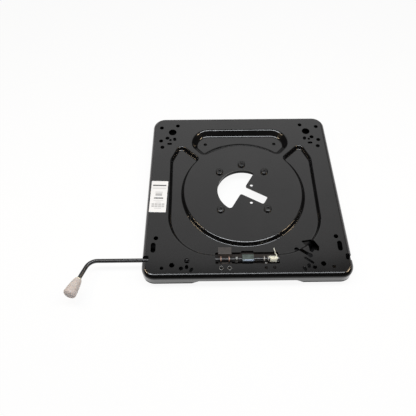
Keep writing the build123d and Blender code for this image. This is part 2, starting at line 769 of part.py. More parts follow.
def end_clip():
    """Open spring clip in the groove at the rod's end."""
    body = along_rod(end_clip_radius, groove_left, groove_right)
    body -= along_rod(rod_radius - end_groove_depth + rod_clearance, groove_left - 1, groove_right + 1)
    mouth = Box(4 * end_clip_thickness, end_clip_mouth, 2 * end_clip_radius)
    return body - Pos(groove_left, rod_y, rod_height - end_clip_radius) * mouth


def return_spring():
    """Torsion spring on the rod: a leg on the trough floor, a coil, and a tail in the rod."""
    coil_path = Helix(spring_pitch, spring_turns * spring_pitch, spring_radius)
    wire = RegularPolygon(spring_wire_radius, spring_wire_sides)
    coil = sweep(Plane(coil_path @ 0, z_dir=coil_path % 0) * wire, coil_path, is_frenet=True)
    start_x = spring_left + spring_wire_radius
    coil = Pos(start_x, rod_y, rod_height) * Rot(0, 90, 0) * Rot(0, 0, 180) * coil
    top = rod_height + spring_radius
    tail_end = rod_height + rod_radius - spring_tail_depth
    tail = upright(spring_wire_radius, tail_end, top, start_x, rod_y)
    finish = Vector(spring_right - spring_wire_radius, rod_y, top)
    leg_height = trough_floor + spring_wire_radius
    leg_end = Vector(finish.X - spring_leg_shift, rod_y + spring_leg_behind, leg_height)
    leg = sweep(Plane(finish, z_dir=leg_end - finish) * Circle(spring_wire_radius), Line(finish, leg_end))
    return coil + tail + leg


pieces = (
    upper_plate, lower_plate, upper_slide_ring, lower_slide_ring, hub_spacer, clamp_ring, hub_bolts,
    hub_washers, hub_nuts, left_rod_bracket, right_rod_bracket, bracket_rivets, lever_rod, lever_knob,
    latch_claw, claw_pin, rod_collar, collar_screw, end_washer, end_clip, return_spring,
)

os.makedirs("parts", exist_ok=True)
for make in pieces:
    export_step(make(), f"parts/{make.__name__}.step")
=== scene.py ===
"""Looks of a swivel seat base: finishes, bare sticker, bolts, rolled rivets, wound spring and knob."""
import json
import math

import bpy
import numpy as np
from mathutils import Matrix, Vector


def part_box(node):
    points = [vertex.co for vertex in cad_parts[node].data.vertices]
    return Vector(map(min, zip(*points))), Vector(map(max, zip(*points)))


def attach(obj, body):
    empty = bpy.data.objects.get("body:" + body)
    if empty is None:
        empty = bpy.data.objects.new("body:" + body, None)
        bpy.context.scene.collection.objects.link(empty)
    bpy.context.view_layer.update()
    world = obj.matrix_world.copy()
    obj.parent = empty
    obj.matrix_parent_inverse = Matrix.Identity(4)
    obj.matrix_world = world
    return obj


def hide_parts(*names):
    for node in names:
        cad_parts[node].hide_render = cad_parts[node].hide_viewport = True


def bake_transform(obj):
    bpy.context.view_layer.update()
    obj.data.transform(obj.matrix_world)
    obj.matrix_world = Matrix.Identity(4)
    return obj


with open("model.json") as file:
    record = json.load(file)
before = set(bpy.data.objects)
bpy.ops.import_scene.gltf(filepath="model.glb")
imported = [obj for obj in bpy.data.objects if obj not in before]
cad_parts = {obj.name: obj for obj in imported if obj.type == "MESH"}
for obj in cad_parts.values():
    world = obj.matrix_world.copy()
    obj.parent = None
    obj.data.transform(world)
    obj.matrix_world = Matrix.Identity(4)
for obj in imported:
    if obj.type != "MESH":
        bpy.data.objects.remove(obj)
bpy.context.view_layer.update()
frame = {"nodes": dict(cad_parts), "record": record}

bl_info = {
    "name": "Swivel seat base looks",
    "version": (1, 0, 0),
    "blender": (4, 5, 0),
    "location": "3D View > Sidebar > Seat Base",
    "description": "Finishes and small pieces for a swivel seat base, with its stage",
    "category": "Object",
}

ROUND_STEPS = 48
SENSOR_WIDTH = 36.0
PLATE_LOW, PLATE_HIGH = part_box("upper_plate")
RIVETS_LOW, RIVETS_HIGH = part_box("bracket_rivets")
BOLTS_LOW, BOLTS_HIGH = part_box("hub_bolts")
NUTS_LOW, NUTS_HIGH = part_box("hub_nuts")
SPRING_LOW, SPRING_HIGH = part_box("return_spring")
CLAW_LOW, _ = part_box("latch_claw")
EAR_LOW, EAR_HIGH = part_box("right_rod_bracket")
JOINTS = {joint["name"]: joint for joint in frame["record"]["behaviour"]["joints"]}
ROD_AXIS = JOINTS["lever_turn"]["pos_m"]
EAR_RADIUS = EAR_HIGH.z - ROD_AXIS[2]


class LabelSettings(bpy.types.PropertyGroup):
    """Sizes and colours of the bare sticker."""

    width: bpy.props.FloatProperty(
        name="Width", description="Sticker's size across the seat", default=0.035, unit="LENGTH")
    length: bpy.props.FloatProperty(
        name="Length", description="Sticker's size from front to back", default=0.079, unit="LENGTH")
    thickness: bpy.props.FloatProperty(
        name="Thickness", description="Thickness of the paper", default=0.00018, unit="LENGTH")
    corner: bpy.props.FloatProperty(
        name="Corner", description="Radius of the sticker's corners", default=0.0015, unit="LENGTH")
    inset: bpy.props.FloatProperty(
        name="Inset", description="Plate's left edge to the sticker", default=0.0090, unit="LENGTH")
    ahead: bpy.props.FloatProperty(
        name="Ahead", description="Sticker's middle in front of the swivel axis", default=0.0135,
        unit="LENGTH")
    turn: bpy.props.FloatProperty(
        name="Turn", description="How far the sticker is turned clockwise", default=math.radians(2.0),
        unit="ROTATION")
    paper: bpy.props.FloatVectorProperty(
        name="Paper", description="Colour of the paper", default=(0.85, 0.855, 0.87), size=3,
        subtype="COLOR")
    print_tone: bpy.props.FloatVectorProperty(
        name="Print", description="Colour of the plain printed bars", default=(0.10, 0.10, 0.105), size=3,
        subtype="COLOR")


class CoatSettings(bpy.types.PropertyGroup):
    """Colours and gloss of the painted steel."""

    plate: bpy.props.FloatVectorProperty(
        name="Plates", description="Colour of the plates' coat", default=(0.0048, 0.0046, 0.0049), size=3,
        subtype="COLOR")
    grease: bpy.props.FloatVectorProperty(
        name="Grease", description="Colour of the dusty grease under the latch",
        default=(0.024, 0.019, 0.017), size=3, subtype="COLOR")
    hub: bpy.props.FloatVectorProperty(
        name="Hub rings", description="Colour of the hub's blackened rings", default=(0.014, 0.014, 0.015),
        size=3, subtype="COLOR")
    plate_gloss: bpy.props.FloatProperty(
        name="Plate roughness", description="Roughness of the plates' coat", default=0.16, subtype="FACTOR")
    rod: bpy.props.FloatVectorProperty(
        name="Rod", description="Colour of the rod's paint", default=(0.010, 0.0095, 0.0105), size=3,
        subtype="COLOR")
    bolt: bpy.props.FloatVectorProperty(
        name="Bolts", description="Colour of the blackened bolts", default=(0.010, 0.010, 0.0105), size=3,
        subtype="COLOR")


class MetalSettings(bpy.types.PropertyGroup):
    """Colours of the bare and plated metal."""

    zinc: bpy.props.FloatVectorProperty(
        name="Zinc", description="Colour of the zinc plate", default=(0.60, 0.60, 0.58), size=3,
        subtype="COLOR")
    bracket: bpy.props.FloatVectorProperty(
        name="Brackets", description="Colour of the rod brackets", default=(0.036, 0.030, 0.027), size=3,
        subtype="COLOR")
    # Colours of the painted highlights on each bracket's ear rims and on two spots by the rod.
    left_rim_highlight: bpy.props.FloatVectorProperty(
        name="Left rim highlights", description="Colour of the left bracket's ear rims' painted highlight",
        default=(0.32, 0.21, 0.17), size=3, subtype="COLOR")
    right_rim_highlight: bpy.props.FloatVectorProperty(
        name="Right rim highlights", description="Colour of the right bracket's ear rims' painted highlight",
        default=(0.34, 0.33, 0.31), size=3, subtype="COLOR")
    claw: bpy.props.FloatVectorProperty(
        name="Claw", description="Colour of the latch claw", default=(0.070, 0.088, 0.080), size=3,
        subtype="COLOR")
    # Colour of the painted highlight on the claw's front.
    claw_highlight: bpy.props.FloatVectorProperty(
        name="Claw polish", description="Colour of the claw's polished front",
        default=(0.19, 0.22, 0.27), size=3, subtype="COLOR")
    spring: bpy.props.FloatVectorProperty(
        name="Spring", description="Colour of the spring wire", default=(0.86, 0.86, 0.76), size=3,
        subtype="COLOR")


class PlasticSettings(bpy.types.PropertyGroup):
    """Colours of the plastic pieces."""

    knob: bpy.props.FloatVectorProperty(
        name="Knob", description="Colour of the knob", default=(0.55, 0.495, 0.465), size=3, subtype="COLOR")
    lip: bpy.props.FloatVectorProperty(
        name="Lip", description="Colour of the knob's lip", default=(0.80, 0.77, 0.62), size=3,
        subtype="COLOR")
    slide: bpy.props.FloatVectorProperty(
        name="Slide rings", description="Colour of the slide rings", default=(0.05, 0.05, 0.052), size=3,
        subtype="COLOR")


class TurnedSettings(bpy.types.PropertyGroup):
    """Sizes of the bolts, the rolled rivets, the wound spring and the turned knob."""

    pitch: bpy.props.FloatProperty(
        name="Thread pitch", description="Pitch of the bolt thread", default=0.00125, unit="LENGTH")
    thread_depth: bpy.props.FloatProperty(
        name="Thread depth", description="Depth of the bolt thread", default=0.0007, unit="LENGTH")
    shank: bpy.props.FloatProperty(
        name="Shank", description="Radius of the bolts' shanks", default=0.004, unit="LENGTH")
    socket: bpy.props.FloatProperty(
        name="Socket", description="Hexagon socket of a bolt across its flats", default=0.005, unit="LENGTH")
    socket_depth: bpy.props.FloatProperty(
        name="Socket depth", description="Depth of the hexagon socket", default=0.0028, unit="LENGTH")
    roll: bpy.props.FloatProperty(
        name="Roll", description="Thickness of a rivet's rolled edge", default=0.0009, unit="LENGTH")
    wire: bpy.props.FloatProperty(
        name="Wire", description="Radius of the spring's wire", default=0.001, unit="LENGTH")
    coil: bpy.props.FloatProperty(
        name="Coil", description="Radius of the spring's coil at the middle of its wire", default=0.0057,
        unit="LENGTH")
    coil_turns: bpy.props.IntProperty(
        name="Turns", description="Turns of the spring", default=7, min=1)
    leg_shift: bpy.props.FloatProperty(
        name="Leg shift", description="How far the spring's leg leans to the claw", default=0.0035,
        unit="LENGTH")
    leg_reach: bpy.props.FloatProperty(
        name="Leg reach", description="End of the spring's leg behind the rod's axis", default=0.0235,
        unit="LENGTH")
    knob_plan: bpy.props.FloatProperty(
        name="Knob plan angle", description="Turn of the knob's axis on the plan",
        default=math.radians(69.3), unit="ROTATION")
    knob_rise: bpy.props.FloatProperty(
        name="Knob rise", description="Rise of the knob's axis", default=math.radians(6.0), unit="ROTATION")
    knob_bulge: bpy.props.FloatProperty(
        name="Knob bulge", description="How far the knob's side swells between its ends", default=0.0006,
        unit="LENGTH")


class StageSettings(bpy.types.PropertyGroup):
    """Camera, floor and lights."""

    camera: bpy.props.FloatVectorProperty(
        name="Camera", description="Where the camera stands", default=(-0.0814, -0.5792, 0.8589), size=3,
        unit="LENGTH")
    pitch: bpy.props.FloatProperty(
        name="Pitch", description="How far the camera looks down", default=math.radians(56.96),
        unit="ROTATION")
    yaw: bpy.props.FloatProperty(
        name="Yaw", description="How far the camera turns to the right", default=math.radians(0.73),
        unit="ROTATION")
    lens: bpy.props.FloatProperty(
        name="Lens", description="Focal length on a 36 mm sensor, in millimetres", default=41.16)
    floor_half: bpy.props.FloatProperty(
        name="Floor", description="Half width of the floor", default=6.0, unit="LENGTH")
    floor_colour: bpy.props.FloatVectorProperty(
        name="Floor colour", description="Colour of the floor", default=(0.94, 0.94, 0.94), size=3,
        subtype="COLOR")
    key_power: bpy.props.FloatProperty(
        name="Key light", description="Power of the soft light overhead", default=15.5, unit="POWER")
    key_tint: bpy.props.FloatVectorProperty(
        name="Key tint", description="Colour of the soft light overhead", default=(0.93, 0.965, 1.0), size=3,
        subtype="COLOR")
    side_power: bpy.props.FloatProperty(
        name="Side lights", description="Power of each small warm light at the sides", default=2.2,
        unit="POWER")
    side_tint: bpy.props.FloatVectorProperty(
        name="Side tint", description="Colour of the lights at the sides", default=(1.0, 0.78, 0.52), size=3,
        subtype="COLOR")
    back_level: bpy.props.FloatProperty(
        name="Back level", description="Brightness of the surroundings behind the seat", default=0.66)
    low_level: bpy.props.FloatProperty(
        name="Low level", description="Brightness of the surroundings elsewhere", default=0.02)


class Signal:
    """A number, colour or vector in a material's graph. Operators on numbers add Math nodes."""

    def __init__(self, graph, socket):
        self.graph = graph
        self.socket = socket

    def maths(self, operation, first, second):
        return self.graph.add("ShaderNodeMath", {"operation": operation}, {0: first, 1: second})

    def __add__(self, other):
        return self.maths("ADD", self, other)

    def __radd__(self, other):
        return self.maths("ADD", other, self)

    def __sub__(self, other):
        return self.maths("SUBTRACT", self, other)

    def __rsub__(self, other):
        return self.maths("SUBTRACT", other, self)

    def __mul__(self, other):
        return self.maths("MULTIPLY", self, other)

    def __rmul__(self, other):
        return self.maths("MULTIPLY", other, self)

    def __truediv__(self, other):
        return self.maths("DIVIDE", self, other)

    def __rtruediv__(self, other):
        return self.maths("DIVIDE", other, self)

    def __pow__(self, other):
        return self.maths("POWER", self, other)

    def __abs__(self):
        return self.maths("ABSOLUTE", self, 0.0)

    def largest(self, other):
        return self.maths("MAXIMUM", self, other)

    def step(self, low, high):
        """Smooth rise from 0 at low to 1 at high."""
        return self.graph.add("ShaderNodeMapRange", {"interpolation_type": "SMOOTHSTEP"},
                              {"Value": self, "From Min": low, "From Max": high})


class Graph:
    """A node tree that is filled with one finish."""

    def __init__(self, tree):
        self.tree = tree
        tree.nodes.clear()

    def add(self, kind, settings=None, inputs=None, output=0):
        """Add one node: its settings first, then the values or links of its sockets; returns an output."""
        node = self.tree.nodes.new(kind)
        for key, value in (settings or {}).items():
            setattr(node, key, value)
        for key, value in (inputs or {}).items():
            if isinstance(value, Signal):
                self.tree.links.new(value.socket, node.inputs[key])
            else:
                node.inputs[key].default_value = value
        return Signal(self, node.outputs[output]) if len(node.outputs) else None

    def place(self, turn=(0, 0, 0), scale=(1, 1, 1)):
        """Object coordinates, turned and scaled."""
        here = self.add("ShaderNodeTexCoord", output="Object")
        if (turn, scale) == ((0, 0, 0), (1, 1, 1)):
            return here
        return self.add("ShaderNodeMapping", {"vector_type": "POINT"},
                        {"Vector": here, "Rotation": turn, "Scale": scale})

    def axes(self, vector):
        """The three numbers of a vector."""
        return [self.add("ShaderNodeSeparateXYZ", None, {"Vector": vector}, axis) for axis in "XYZ"]

    def noise(self, vector, scale, detail=2.0, roughness=0.5):
        """Soft random field from 0 to 1, with features about 1 / scale wide."""
        return self.add("ShaderNodeTexNoise", None,
                        {"Vector": vector, "Scale": scale, "Detail": detail, "Roughness": roughness})

    def cells(self, vector, scale):
        """Distance to the nearest of many scattered points, in cell widths."""
        return self.add("ShaderNodeTexVoronoi", None, {"Vector": vector, "Scale": scale})

    def blend(self, share, first, second):
        """Colour that goes from the first to the second as share goes from 0 to 1."""
        values = {0: share, 6: first, 7: second}
        return self.add("ShaderNodeMix", {"data_type": "RGBA"}, values, 2)

    def bump(self, height, distance, strength):
        """Surface direction from a height field; distance is the height of 1, in metres."""
        values = {"Height": height, "Distance": distance, "Strength": strength}
        return self.add("ShaderNodeBump", None, values)

    def finish(self, inputs, painted_shade=None):
        """Principled surface with these sockets, on the output, and matt black painted shade where its last
        argument goes to 1.
        """
        shader = self.add("ShaderNodeBsdfPrincipled", None, inputs)
        if painted_shade:
            black = self.add("ShaderNodeBsdfDiffuse", None, {"Color": (0.004, 0.004, 0.004, 1)})
            shader = self.add("ShaderNodeMixShader", None, {0: painted_shade, 1: shader, 2: black})
        self.add("ShaderNodeOutputMaterial", None, {"Surface": shader})


def new_material(name):
    """Empty material and its graph."""
    material = bpy.data.materials.new(name)
    material.use_nodes = True
    return material, Graph(material.node_tree)


def colour(values, gain=1.0):
    """Four-number colour from a property's three, times a gain."""
    return (*(min(1.0, value * gain) for value in values), 1.0)


def plate_rim(x, y):
    """Distance in from the upper plate's sides and rounded back, and how far the nearest edge faces back.

    The sides close in evenly towards the back, where a quarter circle joins each to the back edge."""
    corner = 0.027
    slant = 0.0164
    half = PLATE_HIGH.x - (y - PLATE_LOW.y) * slant
    out = (abs(x) - half + corner).largest(0.0)
    back = (y - (PLATE_HIGH.y - corner)).largest(0.0)
    reach = (out * out + back * back) ** 0.5
    return corner - reach, back / (reach + 0.0001)


def plate_material(tone, roughness):
    """Black powder coat: cloudy tone, a little orange peel, faint scuffs and dust on what faces up.

    It has a painted highlight along the upper rim, stronger where the edge faces back, painted shade along
    the front bend, fainter down the skirt, and painted shadow along the low edges of the skirts."""
    dust = 0.25
    dust_tone = (0.16, 0.15, 0.14, 1.0)
    # Grey of the painted highlight along the plate's upper rim.
    rim_highlight_grey = (0.19, 0.19, 0.20, 1.0)
    coat = 0.6
    bend = 0.0080
    # Heights of the painted shadow along the low edges of the skirts.
    front_shadow_depth = 0.0220
    side_shadow_height = 0.0024
    material, graph = new_material("plate_coat")
    here = graph.place()
    x, y, z = graph.axes(here)
    below = PLATE_HIGH.z - z
    cloud = graph.noise(here, 14.0, 4.0, 0.6)
    peel = graph.noise(here, 620.0, 2.0, 0.5)
    grain = graph.noise(here, 2600.0, 1.0, 0.5)
    scuffs = graph.noise(graph.place(turn=(0, 0, 0.6), scale=(9, 160, 60)), 3.0, 3.0, 0.6).step(0.62, 0.74)
    specks = graph.cells(here, 210.0).step(0.075, 0.03) * graph.noise(here, 31.0).step(0.5, 0.62)
    up = graph.axes(graph.add("ShaderNodeNewGeometry", output="Normal"))[2].step(0.6, 0.98)
    dusty = specks * up * dust + cloud.step(0.45, 0.8) * up * (0.03 * dust)
    tinted = graph.blend(cloud.step(0.3, 0.75), colour(tone, 0.8), colour(tone, 1.3))
    dusted = graph.blend(dusty, tinted, dust_tone)
    distance, facing_back = plate_rim(x, y)
    # Painted highlight along the upper rim, stronger where the nearest edge faces back.
    rim = distance.step(bend, bend / 2) * below.step(0.0065, 0.0030) * (0.55 + facing_back * 0.45)
    base = graph.blend(rim * (0.55 + cloud * 0.5), dusted, rim_highlight_grey)
    skirt = (y - PLATE_LOW.y).step(bend, bend - 0.0010)
    # Painted shadow along the bottom of the deep parts of the front skirt.
    painted_front_shadow = skirt * below.step(front_shadow_depth, front_shadow_depth + 0.0012)
    # Painted shadow along the lowest few millimetres of the skirts.
    painted_side_shadow = z.step(PLATE_LOW.z + side_shadow_height, PLATE_LOW.z + 0.75 * side_shadow_height)
    # Painted shade: mostly matt black over the front bend, faint further down the skirt.
    painted_skirt_shade = skirt * (0.70 - below.step(bend / 2, bend + 0.001) * 0.62)
    # All the painted shade and shadow, mixed towards matt black.
    painted_shade = painted_skirt_shade.largest(painted_front_shadow).largest(painted_side_shadow)
    gloss = roughness + (cloud - 0.5) * 0.06 + scuffs * 0.05 + dusty * 0.3
    graph.finish({
        "Base Color": base, "Roughness": gloss, "IOR": 1.5,
        "Normal": graph.bump(peel * 0.8 + grain * 0.2, 0.00002, 0.5),
        "Coat Weight": coat - scuffs * (0.3 * coat), "Coat Roughness": 0.08, "Coat IOR": 1.5}, painted_shade)
    return material


def base_material(tone, grease):
    """Dull black coat of the lower plate: cloudy, grained, and brown with grease where the latch works."""
    latch_half = (0.070, 0.022)
    material, graph = new_material("base_coat")
    here = graph.place()
    x, y, _ = graph.axes(here)
    cloud = graph.noise(here, 20.0, 4.0, 0.6)
    grain = graph.noise(here, 1500.0, 2.0, 0.6)
    smears = graph.noise(graph.place(scale=(30, 140, 60)), 1.0, 4.0, 0.65)
    latch = abs(x).step(latch_half[0], latch_half[0] - 0.008)
    latch = latch * abs(y - ROD_AXIS[1]).step(latch_half[1], latch_half[1] - 0.006)
    coated = graph.blend(cloud.step(0.3, 0.75), colour(tone, 0.8), colour(tone, 1.3))
    base = graph.blend(latch * (0.6 + smears * 0.5), coated, colour(grease))
    graph.finish({
        "Base Color": base, "Roughness": 0.5 + (cloud - 0.5) * 0.15, "Specular IOR Level": 0.2,
        "Normal": graph.bump(grain, 0.00003, 0.5)})
    return material


def rod_material(tone):
    """Satin black paint on drawn rod: fine lengthwise lines and worn patches that show grey steel."""
    material, graph = new_material("rod_paint")
    here = graph.place()
    cloud = graph.noise(here, 40.0, 3.0, 0.6)
    lines = graph.noise(graph.place(scale=(12, 900, 900)), 1.0, 2.0, 0.5)
    worn = graph.noise(here, 95.0, 4.0, 0.7).step(0.66, 0.78)
    painted = graph.blend(cloud, colour(tone, 0.8), colour(tone, 1.5))
    base = graph.blend(worn * 0.5, painted, (0.09, 0.085, 0.085, 1))
    graph.finish({
        "Base Color": base, "Roughness": 0.34 + (cloud - 0.5) * 0.12 + worn * 0.1,
        "Normal": graph.bump(lines, 0.00003, 0.6), "IOR": 1.5, "Coat Weight": 0.35 - worn * 0.3,
        "Coat Roughness": 0.2})
    return material


def blackened_material(tone):
    """Blackened steel of the bolts: dark oxide with fine grain and rubbed patches."""
    material, graph = new_material("bolt_black")
    here = graph.place()
    cloud = graph.noise(here, 130.0, 4.0, 0.6)
    grain = graph.noise(here, 1500.0, 2.0, 0.6)
    rubbed = cloud.step(0.60, 0.72)
    base = graph.blend(rubbed * 0.35, colour(tone), (0.10, 0.10, 0.105, 1))
    graph.finish({
        "Base Color": base, "Metallic": rubbed * 0.5, "Roughness": 0.33 + (cloud - 0.5) * 0.2,
        "Normal": graph.bump(grain, 0.00004, 0.5), "IOR": 1.5, "Coat Weight": 0.25 - rubbed * 0.2})
    return material


def metal_material(name, tone, stain, metallic, roughness, grain_scale):
    """Plated or phosphated steel: crystal mottle, fine grain and patches of a stain colour."""
    material, graph = new_material(name)
    here = graph.place()
    patches = graph.noise(here, 70.0, 5.0, 0.65)
    crystals = graph.cells(here, grain_scale)
    grain = graph.noise(here, 2.2 * grain_scale, 2.0, 0.6)
    mottled = graph.blend(crystals, colour(tone, 0.86), colour(tone, 1.12))
    base = graph.blend(patches.step(0.48, 0.70) * 0.55, mottled, colour(stain))
    graph.finish({
        "Base Color": base, "Metallic": metallic - patches.step(0.55, 0.75) * 0.25 * metallic,
        "Roughness": roughness + (patches - 0.5) * 0.25 + (crystals - 0.4) * 0.08,
        "Normal": graph.bump(grain, 0.00003, 0.5)})
    return material


def claw_material(tone, highlight):
    """Phosphated claw: grey-green behind the rod, a painted highlight in front of it that is fainter at its
    left end, black at its teeth.
    """
    material, graph = new_material("claw_steel")
    here = graph.place()
    x, y, z = graph.axes(here)
    patches = graph.noise(here, 160.0, 4.0, 0.65)
    grain = graph.noise(here, 1900.0, 2.0, 0.6)
    front = ROD_AXIS[1] - 0.0030
    tooth_top = ROD_AXIS[2] + 0.0052
    # Painted highlight along the claw's front, fainter at its left end.
    highlighted = (y + (patches - 0.5) * 0.004).step(front, front - 0.0014)
    highlighted = highlighted * (0.45 + x.step(CLAW_LOW.x, CLAW_LOW.x + 0.008) * 0.55)
    toothed = z.step(tooth_top, tooth_top - 0.0012)
    body = graph.blend(patches.step(0.3, 0.7), colour(tone, 0.75), colour(tone, 1.3))
    base = graph.blend(toothed, graph.blend(highlighted, body, colour(highlight)), (0.004, 0.004, 0.0045, 1))
    graph.finish({
        "Base Color": base, "Metallic": 0.5 + highlighted * 0.4, "Roughness": 0.38 + (patches - 0.5) * 0.2,
        "Normal": graph.bump(grain, 0.00003, 0.5)})
    return material


def bracket_material(name, tone, rim_highlight):
    """Phosphated bracket: brown-grey strap, black ears, painted highlights on their upper rims and on two
    spots by the rod.
    """
    spot_reach = 0.0065
    spot_middle = (EAR_LOW.x + EAR_HIGH.x) / 2
    material, graph = new_material(name)
    here = graph.place()
    x, y, z = graph.axes(here)
    patches = graph.noise(here, 110.0, 4.0, 0.65)
    grain = graph.noise(here, 1700.0, 2.0, 0.6)
    behind = y - ROD_AXIS[1]
    above = z - ROD_AXIS[2]
    away = (behind * behind + above * above) ** 0.5
    ears = away.step(EAR_RADIUS + 0.0008, EAR_RADIUS + 0.0003) * above.step(-0.003, -0.001)
    # Painted highlight on the upper rims of the ears.
    rims = away.step(EAR_RADIUS - 0.0012, EAR_RADIUS - 0.0004) * above.step(0.002, 0.004)
    # Painted highlight on two spots at the ears' middle, in front of and behind the rod.
    highlight_spots = abs(x - spot_middle).step(0.0026, 0.0018) * abs(abs(behind) - spot_reach).step(0.0018, 0.0010)
    strap = graph.blend(patches.step(0.3, 0.7), colour(tone, 0.8), colour(tone, 1.2))
    strap = graph.blend(highlight_spots, strap, colour(rim_highlight))
    ear = graph.blend(rims, (0.007, 0.006, 0.006, 1), colour(rim_highlight))
    graph.finish({
        "Base Color": graph.blend(ears, strap, ear), "Metallic": ears * (0.2 + rims * 0.3),
        "Roughness": 0.46 + (patches - 0.5) * 0.2, "Normal": graph.bump(grain, 0.00003, 0.5)})
    return material


def slide_material(tone):
    """Dark low-friction plastic: fine moulded grain with rubbed rings."""
    material, graph = new_material("slide_plastic")
    here = graph.place()
    x, y, _ = graph.axes(here)
    radius = (x * x + y * y) ** 0.5
    rings = graph.noise(graph.add("ShaderNodeCombineXYZ", None, {"X": radius}), 700.0, 2.0, 0.6)
    grain = graph.noise(here, 1900.0, 2.0, 0.6)
    cloud = graph.noise(here, 35.0, 3.0, 0.6)
    base = graph.blend(cloud, colour(tone, 0.8), colour(tone, 1.3))
    graph.finish({
        "Base Color": base, "Roughness": 0.48 + (cloud - 0.5) * 0.15 + (rings - 0.5) * 0.2,
        "Normal": graph.bump(grain * 0.5 + rings * 0.5, 0.00004, 0.6)})
    return material


def knob_material(settings, start, direction, length):
    """Pale moulded plastic, cloudy and a little grey towards its end, with a lighter lip at its neck."""
    material, graph = new_material("knob_plastic")
    here = graph.place()
    across = graph.add("ShaderNodeVectorMath", {"operation": "SUBTRACT"}, {0: here, 1: start})
    product = {"operation": "DOT_PRODUCT"}
    along = graph.add("ShaderNodeVectorMath", product, {0: across, 1: direction}, "Value")
    share = along / length
    cloud = graph.noise(here, 110.0, 3.0, 0.6)
    grain = graph.noise(here, 1400.0, 2.0, 0.6)
    scuffs = graph.noise(graph.place(scale=(60, 400, 400)), 1.0, 3.0, 0.6).step(0.62, 0.76)
    body = graph.blend(cloud.step(0.3, 0.7), colour(settings.knob, 1.02), colour(settings.knob, 1.09))
    greyed = graph.blend(share.step(0.45, 1.1) * 0.45, body, (0.55, 0.48, 0.48, 1))
    lipped = graph.blend(share.step(0.02, -0.02), greyed, colour(settings.lip))
    base = graph.blend(scuffs * 0.18, lipped, (0.36, 0.32, 0.30, 1))
    graph.finish({
        "Base Color": base, "Roughness": 0.42 + (cloud - 0.5) * 0.14 + scuffs * 0.1,
        "Normal": graph.bump(grain, 0.000015, 0.5), "IOR": 1.46, "Subsurface Weight": 0.12,
        "Subsurface Radius": (0.004, 0.003, 0.0025), "Subsurface Scale": 0.6})
    return material


def label_material(settings, middle):
    """Matt white paper with a few plain grey bars and two rows of blocks, and no lettering.

    Each bar has its height above the middle, half its thickness, half its width and its depth of ink, the
    lengths in 79ths of the sticker's length."""
    material, graph = new_material("label_paper")
    here = graph.place()
    x, y, _ = graph.axes(graph.add("ShaderNodeVectorMath", {"operation": "SUBTRACT"}, {0: here, 1: middle}))
    across = x * math.cos(settings.turn) - y * math.sin(settings.turn)
    along = x * math.sin(settings.turn) + y * math.cos(settings.turn)
    unit = settings.length / 79
    soft = 0.5 * unit
    fibres = graph.noise(here, 900.0, 4.0, 0.6)
    cloud = graph.noise(here, 60.0, 3.0, 0.6)
    ink = 0.0
    bars = ((28.0, 1.3, 14.0, 1.0), (20.6, 1.6, 14.0, 0.22), (10.5, 1.2, 7.5, 0.28),
            (4.4, 3.0, 6.8, 0.52), (-4.5, 1.3, 9.5, 0.95), (-10.4, 1.0, 10.0, 0.2),
            (-14.6, 1.0, 5.0, 0.22), (-30.0, 1.0, 7.0, 0.25))
    row_height, row_gap, row_half, row_reach = -22.4 * unit, 2.6 * unit, 1.9 * unit, 13.0 * unit
    block_width = 3.6 * unit
    for height, half, reach, depth in bars:
        bar = abs(along - height * unit).step(half * unit + soft, half * unit)
        ink = ink + bar * abs(across).step(reach * unit + soft, reach * unit) * depth
    rows = abs(abs(along - row_height) - row_gap).step(row_half + soft, row_half)
    blocks = graph.add("ShaderNodeMath", {"operation": "PINGPONG"}, {0: across, 1: block_width})
    rows = rows * abs(across).step(row_reach + soft, row_reach)
    ink = ink + rows * blocks.step(0.2 * unit, 0.9 * unit) * 0.42
    paper = graph.blend(cloud, colour(settings.paper, 0.97), colour(settings.paper, 1.02))
    base = graph.blend(ink * (0.6 + fibres * 0.8), paper, colour(settings.print_tone))
    graph.finish({
        "Base Color": base, "Roughness": 0.42 + (fibres - 0.5) * 0.2,
        "Normal": graph.bump(fibres, 0.00002, 0.5), "IOR": 1.45})
    return material


def make_piece(name, grids, material):
    """One object from several grids of points, each of shape (rings, steps, 3) and closed round its steps.

    Quads join neighbouring rings. A grid that comes with True gets a face on its first and last rings; one
    with False has its last ring joined to its first."""
    quads = []
    caps = []
    start = 0
    for points, capped in grids:
        rings, steps, _ = points.shape
        ring = np.arange(rings - 1 if capped else rings)[:, None]
        step = np.arange(steps)[None, :]
        next_ring = (ring + 1) % rings
        next_step = (step + 1) % steps
        corners = (ring * steps + step, ring * steps + next_step,
                   next_ring * steps + next_step, next_ring * steps + step)
        quads.append(start + np.stack(corners, axis=-1).reshape(-1, 4))
        if capped:
            caps.append((start + np.arange(steps)[::-1]).tolist())
            caps.append((start + (rings - 1) * steps + np.arange(steps)).tolist())
        start += rings * steps
    vertices = np.concatenate([points.reshape(-1, 3) for points, _ in grids])
    mesh = bpy.data.meshes.new(name)
    mesh.from_pydata(vertices.tolist(), [], np.concatenate(quads).tolist() + caps)
    mesh.polygons.foreach_set("use_smooth", np.ones(len(mesh.polygons), bool))
    mesh.set_sharp_from_angle(angle=math.radians(35))
    mesh.validate()
    mesh.materials.append(material)
    piece = bpy.data.objects.new(name, mesh)
    bpy.context.scene.collection.objects.link(piece)
    return piece


def revolve(profile, centre, steps):
    """Surface of revolution about an upright axis: radius and height along the profile, angle round it."""
    angle = np.linspace(0, 2 * np.pi, steps, endpoint=False)
    radius = profile[:, 0][:, None]
    height = np.repeat(profile[:, 1][:, None], steps, axis=1)
    points = np.stack([radius * np.cos(angle), radius * np.sin(angle), height], axis=-1)
    return points + np.array([centre[0], centre[1], 0.0])


def arc(centre, radii, start, end, count):
    """Points on an ellipse from one angle to another, in degrees."""
    angle = np.radians(np.linspace(start, end, count))
    return np.stack([centre[0] + radii[0] * np.cos(angle), centre[1] + radii[1] * np.sin(angle)], axis=-1)


